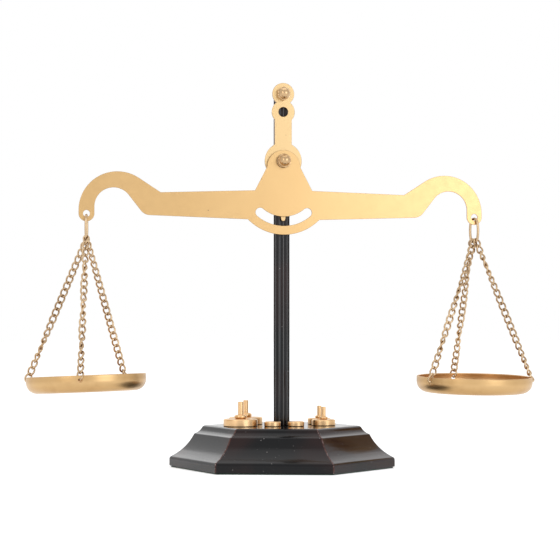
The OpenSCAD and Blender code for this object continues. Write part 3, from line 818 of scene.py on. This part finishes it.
def make_bracket():
    """Two discs, neck, pivot disc and pointer, cut from one sheet."""
    pivot_low = -math.sqrt(PIVOT_DISC_R**2 - POINTER_ROOT_HALF_W**2)
    neck_low = math.sqrt(PIVOT_DISC_R**2 - NECK_HALF_W**2)
    ring_meet = math.sqrt(RING_DISC_R**2 - NECK_HALF_W**2)
    gap = TOP_BOLT_RISE - RING_DISC_RISE
    waist_up = (gap**2 + RING_DISC_R**2 - TOP_DISC_R**2) / (2 * gap)
    waist_half = math.sqrt(RING_DISC_R**2 - waist_up**2)

    def heading(x, z):
        return math.degrees(math.atan2(z, x))

    tip = (0, POINTER_HALF_W - POINTER_DROP)
    top = (0, TOP_BOLT_RISE)
    ring = (0, RING_DISC_RISE)
    ring_start, ring_end = heading(waist_half, waist_up), heading(NECK_HALF_W, -ring_meet)
    pivot_start = heading(NECK_HALF_W, neck_low)
    pivot_end = heading(POINTER_ROOT_HALF_W, pivot_low)
    half = arc(top, TOP_DISC_R, 90, heading(waist_half, waist_up - gap), 22)
    half += arc(ring, RING_DISC_R, ring_start, ring_end, 20)[1:]
    half += arc((0, 0), PIVOT_DISC_R, pivot_start, pivot_end, 24)
    half += arc(tip, POINTER_HALF_W, 0, -90, 8)
    hole = BOLT_R + BRACKET_HOLE_GAP
    loops = [
        mirrored(half),
        arc(ring, RING_DISC_HOLE_R, 0, 360, 40)[:-1],
        arc(top, hole, 0, 360, 32)[:-1],
        arc((0, 0), hole, 0, 360, 32)[:-1],
    ]
    made = plate("bracket_sheet", loops, POST_R, BRACKET_T, PLATE_BRASS)
    give(made, "stand", "satin_brass", "bracket_plate")


def beam_half():
    """Right half of the beam's outline, from the top of the crown round to its lowest point."""
    hook = (BEAM_ARM + TAB_W / 2 - HOOK_R, TAB_L - HOOK_DROP)
    hollow = (BEAM_ARM - TAB_W / 2 - HOOK_HOLLOW_R, hook[1] + HOOK_R - HOOK_BAND - HOOK_HOLLOW_R)
    lean = (ARM_H_IN - ARM_H_OUT) / 2 / (ARM_OUT_X - ARM_IN_X)

    def top_edge(x):
        return ARM_H_IN / 2 - ARM_DROP - lean * (x - ARM_IN_X)

    def low_edge(x):
        return -ARM_H_IN / 2 - ARM_DROP + lean * (x - ARM_IN_X)

    def meet(point, slope, edge):
        rise = math.tan(math.radians(slope))
        start, edge_rise = edge(0), edge(1) - edge(0)
        x = (start - point[1] + rise * point[0]) / (rise - edge_rise)
        return x, edge(x)

    outer_touch = arc(hook, HOOK_R, 90 + OUTER_SLOPE, 0, 1)[0]
    inner_touch = arc(hollow, HOOK_HOLLOW_R, 90 + INNER_SLOPE, 0, 1)[0]
    outer_corner = meet(outer_touch, OUTER_SLOPE, top_edge)
    inner_corner = meet(inner_touch, INNER_SLOPE, low_edge)
    low_slope = math.degrees(math.atan(lean))
    reach = ARM_CORNER_R / math.tan(math.radians((180 - INNER_SLOPE + low_slope) / 2))
    corner_start = (
        inner_corner[0] + reach * cos_d(INNER_SLOPE),
        inner_corner[1] + reach * sin_d(INNER_SLOPE),
    )
    corner = (
        corner_start[0] + ARM_CORNER_R * cos_d(90 + INNER_SLOPE),
        corner_start[1] + ARM_CORNER_R * sin_d(90 + INNER_SLOPE),
    )
    rise = low_edge(0) + BELLY_DROP
    square = 1 + lean**2
    root = math.sqrt((lean * rise) ** 2 + square * (BELLY_R**2 - rise**2))
    belly_x = (root - lean * rise) / square
    belly_angle = math.degrees(math.atan2(low_edge(belly_x) + BELLY_DROP, belly_x))
    half = arc((0, -CROWN_DROP), CROWN_R, 90, 0, 24)
    half += [(SHOULDER_HALF_W, top_edge(SHOULDER_HALF_W)), outer_corner]
    half += arc(hook, HOOK_R, 90 + OUTER_SLOPE, 0, 48)
    half += arc((BEAM_ARM, -HOOK_DROP), TAB_W / 2, 0, -180, 24)
    half += arc(hollow, HOOK_HOLLOW_R, 0, 90 + INNER_SLOPE, 40)
    half += arc(corner, ARM_CORNER_R, INNER_SLOPE - 90, low_slope - 90, 12)
    half += arc((0, -BELLY_DROP), BELLY_R, belly_angle, -90, 20)
    return half


def curved_slot():
    middle = (SLOT_IN_R + SLOT_OUT_R) / 2
    end_r = (SLOT_OUT_R - SLOT_IN_R) / 2
    centre = (0, -BELLY_DROP)
    start, end = -90 - SLOT_HALF_ANGLE, -90 + SLOT_HALF_ANGLE
    first, last = arc(centre, middle, start, end, 1)
    loop = arc(centre, SLOT_OUT_R, start, end, 36)
    loop += arc(last, end_r, end, end + 180, 12)[1:-1]
    loop += arc(centre, SLOT_IN_R, end, start, 36)
    loop += arc(first, -end_r, start, start + 180, 12)[1:-1]
    return loop


def make_beam():
    loops = [
        mirrored(beam_half()),
        curved_slot(),
        arc((0, 0), BOLT_R + BEAM_HOLE_GAP, 0, 360, 32)[:-1],
        arc((BEAM_ARM, -HOOK_DROP), HOOK_HOLE_R, 0, 360, 28)[:-1],
        arc((-BEAM_ARM, -HOOK_DROP), HOOK_HOLE_R, 0, 360, 28)[:-1],
    ]
    made = plate("beam_sheet", loops, BEAM_MID - BEAM_T / 2, BEAM_T, BEAM_BRASS)
    give(made, "beam", "satin_brass", "beam")


# Rings and chains


def oval_path(steps=14):
    """Four-centre oval in the YZ plane, about its own middle."""
    half_w = RING_W / 2 - RING_WIRE_R
    half_l = RING_L / 2 - RING_WIRE_R
    reach = half_l - RING_END_R
    side_r = (half_w**2 + reach**2 - RING_END_R**2) / (2 * (half_w - RING_END_R))
    side_angle = math.degrees(math.atan2(reach, side_r - half_w))
    quarter = arc((half_w - side_r, 0), side_r, 0, side_angle, steps)[:-1]
    quarter += arc((0, reach), RING_END_R, side_angle, 90, steps)
    upper = quarter + [(-y, z) for y, z in reversed(quarter[:-1])]
    loop = upper + [(y, -z) for y, z in reversed(upper[1:-1])]
    return [Vector((0, y, z)) for y, z in loop]


def link_path(length, steps=44):
    """Points (across, up) along the middle of one link's wire, a little fuller than an ellipse."""
    half_w = LINK_W / 2 - LINK_WIRE_R
    half_l = length / 2

    def full(value):
        return math.copysign(abs(value) ** LINK_FULLNESS, value)

    return [
        (half_w * full(cos_d(360 * k / steps)), half_l * full(sin_d(360 * k / steps)))
        for k in range(steps)
    ]


def ring_turn(side):
    """How far the ring is turned from the YZ plane, about Z."""
    across = Vector(joint(side + "_pan_sway")["axis"])
    return math.degrees(math.atan2(-across.x, across.y))


def make_ring(side):
    end = joint_place(side + "_pan_swing")
    middle = end + Vector((0, 0, RING_L / 2 - RING_WIRE_R - RING_ARC_R))
    place = Matrix.Translation(middle) @ Matrix.Rotation(math.radians(ring_turn(side)), 4, "Z")
    path = moved(oval_path(), place)
    points, faces = wire(path, RING_WIRE_R, 20)
    made = new_object(side + "_hanging_ring", points, faces, CHAIN_BRASS, 80)
    give(made, side + "_ring", "satin_brass", side + "_ring")


def pan_frame(side):
    facts = SIDES[side]
    centre = joint_place(side + "_ring_hang") - Vector((0, 0, facts["drop"]))
    roll = Matrix.Rotation(math.radians(-facts["roll"]), 4, "Y")
    pitch = Matrix.Rotation(math.radians(-facts["pitch"]), 4, "X")
    return Matrix.Translation(centre) @ roll @ pitch


def half_turn(angle):
    """The same link seen with its ends swapped: the angle brought to within 90 of 0."""
    return angle - 180 * round(angle / 180)


def between(stations, share):
    """Value at a share of the way, on straight lines between the stations."""
    for (start, low), (end, high) in zip(stations, stations[1:]):
        if share <= end:
            return low + (high - low) * (share - start) / (end - start)
    return stations[-1][1]


def chain_links(side, n):
    """Matrix and length of each twisted link, from the ring down to the pan's wall."""
    facts = SIDES[side]
    ring_axis = Vector(joint(side + "_pan_sway")["axis"])
    end = joint_place(side + "_pan_swing")
    spread = facts["spread"][n] * CHAIN_SPREAD
    up = Vector((0, 0, 1))
    start = end + RING_ARC_R * (sin_d(spread) * ring_axis - cos_d(spread) * up)
    ring_wire = cos_d(spread) * ring_axis + sin_d(spread) * up
    angle = facts["holes"][n]
    reach = PAN_R - PAN_T / 2 + LAST_LINK_OUT
    hole = Vector((reach * cos_d(angle), reach * sin_d(angle), LAST_LINK_RISE - PAN_HOLE_DROP))
    finish = pan_frame(side) @ hole
    down = (finish - start).normalized()
    start = start - (RING_WIRE_R + LINK_WIRE_R + RING_CHAIN_GAP) * down
    span = (finish - start).length
    step = 2 * LINK_WIRE_R + CHAIN_GAP
    first_step = 2 * LINK_WIRE_R + JOINT_GAP
    length = (span + (CHAIN_LINKS - 2) * step + first_step) / CHAIN_LINKS
    lean = math.degrees(math.atan2(math.hypot(down.x, down.y), -down.z))
    azimuth = math.degrees(math.atan2(down.y, down.x))
    turn = Matrix.Rotation(math.radians(azimuth), 3, "Z")
    turn = turn @ Matrix.Rotation(math.radians(-lean), 3, "Y")
    across, along = turn @ Vector((1, 0, 0)), turn @ Vector((0, 1, 0))
    first = math.degrees(math.atan2(-ring_wire.dot(across), ring_wire.dot(along)))
    front = Vector((cos_d(CAMERA_YAW), -sin_d(CAMERA_YAW), 0))
    facing = math.degrees(math.atan2(front.dot(along), front.dot(across)))
    turns = [(share, angle + facing) for share, angle in FACING[side + "_" + CHAIN_NAMES[n]]]
    turns[0] = (0, turns[0][1] + half_turn(first - LINK_TWIST / 2 - turns[0][1]))
    ends = [sign * LAST_LINK_TURN + LINK_TWIST / 2 - turns[-1][1] for sign in (1, -1)]
    turns[-1] = (1, turns[-1][1] + min((half_turn(rest) for rest in ends), key=abs))
    links = []
    for k in range(CHAIN_LINKS):
        travel = length / 2
        if k > 0:
            travel += length - first_step + (k - 1) * (length - step)
        roll = between(turns, k / (CHAIN_LINKS - 1))
        place = Matrix.Translation(start + travel * down) @ turn.to_4x4()
        links.append((place @ Matrix.Rotation(math.radians(roll), 4, "Z"), length))
    return links


def twisted_link(place, length):
    path = []
    for across, up in link_path(length):
        angle = LINK_TWIST * up / length
        path.append(place @ Vector((across * cos_d(angle), across * sin_d(angle), up)))
    return wire(path, LINK_WIRE_R, 12)


def make_chains(side):
    top = []
    for n, name in enumerate(CHAIN_NAMES):
        links = [twisted_link(*link) for link in chain_links(side, n)]
        top.append(links[0])
        points, faces = joined(links[1:])
        made = new_object(side + "_curb_chain_" + name, points, faces, CHAIN_BRASS, 80)
        give(made, side + "_pan", "chain_brass", side + "_chain_" + name)
    points, faces = joined(top)
    made = new_object(side + "_curb_top_links", points, faces, CHAIN_BRASS, 80)
    give(made, side + "_top_links", "chain_brass", side + "_top_links")


# Pans


def pan_profile():
    """Section of the sheet, from the floor's middle underneath, round the lip and back inside."""
    corner = (PAN_R - PAN_CORNER_R, PAN_CORNER_R - PAN_DEPTH)
    floor_radii = (0.0, PAN_FLOOR_IN_R, PAN_FLOOR_OUT_R)
    outer = [(radius, -PAN_DEPTH) for radius in floor_radii]
    outer += arc(corner, PAN_CORNER_R, -90, 0, 14)
    outer += [(PAN_R, -2.6), (PAN_R, -1.6)]
    outer += arc((PAN_R - PAN_LIP_R, -PAN_LIP_R), PAN_LIP_R, 0, 90, 5)
    outer += arc((PAN_R - PAN_LIP_R - 0.05, -PAN_LIP_R), PAN_LIP_R, 90, 180, 5)[1:]
    inner = [(PAN_R - PAN_T - PAN_LIP_R * 0.55, -1.2), (PAN_R - PAN_T, -2.2)]
    inner += arc(corner, PAN_CORNER_R - PAN_T, 0, -90, 14)
    inner += [(radius, PAN_T - PAN_DEPTH) for radius in reversed(floor_radii)]
    return outer + inner


def lathe_closed(profile, steps):
    """Turned skin whose first and last points lie on the axis."""
    points = [(0, 0, profile[0][1])]
    for radius, height in profile[1:-1]:
        for k in range(steps):
            angle = 360 * k / steps
            points.append((radius * cos_d(angle), radius * sin_d(angle), height))
    rows = len(profile) - 2
    faces = []
    for face in ring_faces(rows, steps):
        faces.append(tuple(k + 1 for k in face))
    last = 1 + rows * steps
    points.append((0, 0, profile[-1][1]))
    for k in range(steps):
        beside = (k + 1) % steps
        faces.append((0, 1 + beside, 1 + k))
        faces.append((last, last - steps + k, last - steps + beside))
    return points, faces


def cut_holes(made, place, angles):
    """Drills the chain holes through the pan's wall; the drills are removed again."""
    for angle in angles:
        direction = Vector((cos_d(angle), sin_d(angle), 0))
        centre = place @ (PAN_R * direction + Vector((0, 0, -PAN_HOLE_DROP)))
        axis = (place.to_3x3() @ direction).normalized()
        bpy.ops.mesh.primitive_cylinder_add(
            vertices=28, radius=PAN_HOLE_R * MM, depth=PAN_DRILL_L * MM,
            location=centre * MM, rotation=axis.to_track_quat("Z", "Y").to_euler(),
        )
        drill = bpy.context.object
        cutter = made.modifiers.new("hole", "BOOLEAN")
        cutter.operation = "DIFFERENCE"
        cutter.solver = "EXACT"
        cutter.object = drill
        ready = made.evaluated_get(bpy.context.evaluated_depsgraph_get())
        mesh = bpy.data.meshes.new_from_object(ready)
        made.modifiers.remove(cutter)
        made.data = mesh
        bpy.data.objects.remove(drill)


def make_pan(side):
    place = pan_frame(side)
    points, faces = lathe_closed(pan_profile(), 128)
    made = bare_object(side + "_spun_pan", moved(points, place), faces)
    cut_holes(made, place, SIDES[side]["holes"])
    finish_mesh(made, PAN_BRASS, 50)
    back = place.inverted()
    ring, inside = [], []
    for vertex in made.data.vertices:
        spot = back @ (vertex.co / MM)
        reach = math.hypot(spot.x, spot.y)
        ring.append(reach - spot.z)
        within = reach < PAN_R - PAN_T / 2 and spot.z > PAN_T / 2 - PAN_DEPTH
        out = max(0.0, reach - PAN_R + PAN_CORNER_R)
        below = min(0.0, spot.z - PAN_CORNER_R + PAN_DEPTH)
        in_corner = math.hypot(out, below) < PAN_CORNER_R - PAN_T / 2
        inside.append(float(within and in_corner))
    set_attribute(made, "ring", ring)
    set_attribute(made, "inside", inside)
    give(made, side + "_pan", "pan_brass", side + "_pan")


# Nuts and weights


def hex_reach(angle, radius):
    """A circle cut down to the nut's six flats, with corners at the top and bottom."""
    return min(radius, NUT_FLATS / 2 / cos_d((angle + 30) % 60 - 30))


def make_nut(node, body, name, collar_h):
    """Domed nut, its axis towards the front; collar_h is the height of its round foot, if any."""
    low, high = node_box(node)
    corner = NUT_FLATS / 2 / cos_d(30)
    dome_middle = NUT_HEX_H + NUT_DOME_H - NUT_DOME_R
    rows = []
    if collar_h:
        rows += [
            (NUT_COLLAR_R - NUT_COLLAR_ROUND, 0.0),
            (NUT_COLLAR_R, NUT_COLLAR_ROUND),
            (NUT_COLLAR_R, collar_h - NUT_COLLAR_ROUND),
            (NUT_COLLAR_R - NUT_COLLAR_ROUND, collar_h),
        ]
    rows += [
        (corner, collar_h + 0.01),
        (corner, NUT_HEX_H - 0.5),
        (corner - 0.3, NUT_HEX_H - 0.12),
        (NUT_DOME_R + 0.15, NUT_HEX_H + 0.05),
        (NUT_DOME_R, NUT_HEX_H + 0.3),
        (NUT_DOME_R, dome_middle),
    ]
    rows += arc((0, dome_middle), NUT_DOME_R, 0, 88, 14)[1:]
    points = []
    steps = 96
    for radius, height in rows:
        for k in range(steps):
            angle = 360 * k / steps
            reach = hex_reach(angle, radius) if height > collar_h else radius
            points.append((reach * cos_d(angle), reach * sin_d(angle), height))
    faces = ring_faces(len(rows), steps)
    faces.append(tuple(reversed(range(steps))))
    faces.append(tuple(range((len(rows) - 1) * steps, len(rows) * steps)))
    centre = Vector(((low.x + high.x) / 2, high.y, (low.z + high.z) / 2))
    place = Matrix.Translation(centre) @ Matrix.Rotation(math.radians(90), 4, "X")
    made = new_object(name, moved(points, place), faces, NUT_BRASS, 28)
    give(made, body, "satin_brass", node)


def weight_profile(disc_r, disc_h, bead_r, stem_r, total_h):
    """Disc with soft edges, a flat bead on it and a round-ended stem with a small flare."""
    foot_r = disc_r - DISC_FOOT_ROUND
    profile = [(foot_r, 0.0)]
    profile += arc((foot_r, DISC_FOOT_ROUND), DISC_FOOT_ROUND, -60, 0, 3)
    top_centre = (disc_r - DISC_TOP_ROUND, disc_h - DISC_TOP_ROUND)
    profile += arc(top_centre, DISC_TOP_ROUND, 0, 90, 7)
    if not stem_r:
        profile += [(disc_r * 0.5, disc_h), (0.4, disc_h)]
        return profile
    bead_h = BEAD_SQUASH * 2 * bead_r
    middle = disc_h + bead_h / 2
    profile += [(bead_r - bead_h * 0.3, disc_h + 0.02)]
    profile += arc((bead_r - bead_h / 2, middle), bead_h / 2, -70, 90, 9)
    flare_centre = (stem_r + STEM_FLARE_R, disc_h + bead_h + STEM_FLARE_R)
    profile += arc(flare_centre, STEM_FLARE_R, -90, -180, 4)
    stem_centre = (stem_r - STEM_TOP_ROUND, total_h - STEM_TOP_ROUND)
    profile += arc(stem_centre, STEM_TOP_ROUND, 0, 90, 4)
    profile += [(0.3, total_h)]
    return profile


def make_weight(node, disc_h, bead_r, stem_r):
    low, high = node_box(node)
    disc_r = (high.x - low.x) / 2
    total = high.z - low.z
    place = Matrix.Translation(Vector(((low.x + high.x) / 2, (low.y + high.y) / 2, low.z)))
    profile = weight_profile(disc_r, disc_h, bead_r, stem_r, total)
    points, faces = turned(profile, round_outline, 96)
    made = new_object(node + "_turned", moved(points, place), faces, WEIGHT_BRASS)
    give(made, node, "weight_brass", node)


def dress(node, material):
    """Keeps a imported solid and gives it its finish."""
    shown = frame["nodes"][node]
    for place in shown.material_slots:
        place.material = material
    if not shown.material_slots:
        shown.data.materials.append(material)


make_base()
make_felt()
make_post()
make_bracket()
make_beam()
for side_name in SIDES:
    make_ring(side_name)
    make_chains(side_name)
    make_pan(side_name)
make_nut("top_acorn_nut", "stand", "top_domed_nut", 0.0)
make_nut("pivot_acorn_nut", "stand", "pivot_domed_nut", PIVOT_COLLAR_H)
for weight_node, weight_sizes in WEIGHTS.items():
    make_weight(weight_node, *weight_sizes)
for node_name in ("post_stud", "base_washer", "base_nut", "top_bolt", "pivot_bolt"):
    dress(node_name, STEEL)
# The pivot spacer and washer take the dark brass as painted shade
for node_name in ("pivot_spacer", "pivot_washer"):
    dress(node_name, SHADE_DARK_BRASS)


# Stage, light and camera


def make_floor():
    """Plain pale floor; a faint glow, seen by the camera and in reflections, lifts it to white."""
    mesh = bpy.data.meshes.new("floor")
    signs = ((-1, -1), (1, -1), (1, 1), (-1, 1))
    corners = [(x * FLOOR_REACH_M, y * FLOOR_REACH_M, 0) for x, y in signs]
    mesh.from_pydata(corners, [], [(0, 1, 2, 3)])
    floor = linked("floor", mesh)
    made = Nodes("pale_floor")
    made.set(Base_Color=FLOOR_GREY, Roughness=0.9, Specular_IOR_Level=0.1)
    glow = made.add("ShaderNodeEmission")
    glow.inputs["Color"].default_value = WHITE
    rays = made.add("ShaderNodeLightPath")
    seen = made.math("MAXIMUM", rays.outputs["Is Camera Ray"], rays.outputs["Is Glossy Ray"])
    seen = made.math("MAXIMUM", seen, rays.outputs["Is Transmission Ray"])
    made.link(made.math("MULTIPLY", seen, FLOOR_GLOW), glow.inputs["Strength"])
    both = made.add("ShaderNodeAddShader")
    made.link(made.shader.outputs["BSDF"], both.inputs[0])
    made.link(glow.outputs["Emission"], both.inputs[1])
    made.link(both.outputs["Shader"], made.out.inputs["Surface"])
    mesh.materials.append(made.material)


def make_world():
    """Even pale studio; the camera, reflections and clear parts see plain white."""
    world = bpy.data.worlds.new("studio")
    bpy.context.scene.world = world
    world.use_nodes = True
    tree = world.node_tree
    tree.nodes.clear()
    out = tree.nodes.new("ShaderNodeOutputWorld")
    ground = tree.nodes.new("ShaderNodeBackground")
    ground.inputs["Color"].default_value = STUDIO_COLOUR
    ground.inputs["Strength"].default_value = STUDIO_STRENGTH
    white = tree.nodes.new("ShaderNodeBackground")
    white.inputs["Color"].default_value = WHITE
    white.inputs["Strength"].default_value = 1.0
    rays = tree.nodes.new("ShaderNodeLightPath")
    seen = rays.outputs["Is Camera Ray"]
    for kind in ("Is Glossy Ray", "Is Transmission Ray"):
        either = tree.nodes.new("ShaderNodeMath")
        either.operation = "MAXIMUM"
        tree.links.new(seen, either.inputs[0])
        tree.links.new(rays.outputs[kind], either.inputs[1])
        seen = either.outputs[0]
    mix = tree.nodes.new("ShaderNodeMixShader")
    tree.links.new(seen, mix.inputs[0])
    tree.links.new(ground.outputs[0], mix.inputs[1])
    tree.links.new(white.outputs[0], mix.inputs[2])
    tree.links.new(mix.outputs[0], out.inputs["Surface"])


def area_light(name, place, width, height, watts, colour=(1, 1, 1)):
    """Soft lamp that faces the middle of the object; place, width and height in metres."""
    light = bpy.data.lights.new(name, "AREA")
    light.shape = "RECTANGLE"
    light.size = width
    light.size_y = height
    light.energy = watts
    light.color = colour
    made = linked(name, light)
    made.location = place
    aim = Vector(LAMP_TARGET_M) - Vector(place)
    made.rotation_euler = aim.to_track_quat("-Z", "Y").to_euler()


def make_lights():
    area_light("key_right", (0.77, -1.39, 0.42), 0.9, 0.9, 5.8, KEY_COLOUR)
    area_light("fill_left", (-1.1, -1.1, 0.6), 0.5, 0.9, 3.0)
    area_light("top_soft", (0.0, 0.1, 1.4), 1.2, 1.2, 3.5)
    area_light("back_left", (-0.24, 1.23, 0.62), 0.5, 0.5, 0.8)
    area_light("back_right", (0.8, 1.2, 0.6), 0.6, 0.6, 0.8)


def make_camera():
    data = bpy.data.cameras.new("photo_camera")
    data.sensor_width = SENSOR_MM
    data.lens = SENSOR_MM * FOCAL_PX / PHOTO_WIDTH_PX
    data.shift_x = -POST_OFFSET_PX / PHOTO_WIDTH_PX
    data.clip_end = CLIP_END_M
    camera = linked("photo_camera", data)
    camera.location = Vector((
        -CAMERA_DISTANCE * sin_d(CAMERA_YAW),
        -CAMERA_DISTANCE * cos_d(CAMERA_YAW),
        CAMERA_HEIGHT,
    )) * MM
    camera.rotation_euler = (math.radians(90 + CAMERA_PITCH), 0, math.radians(-CAMERA_YAW))
    bpy.context.scene.camera = camera


make_camera()
make_floor()
make_world()
make_lights()
bpy.context.scene.view_settings.view_transform = "Standard"
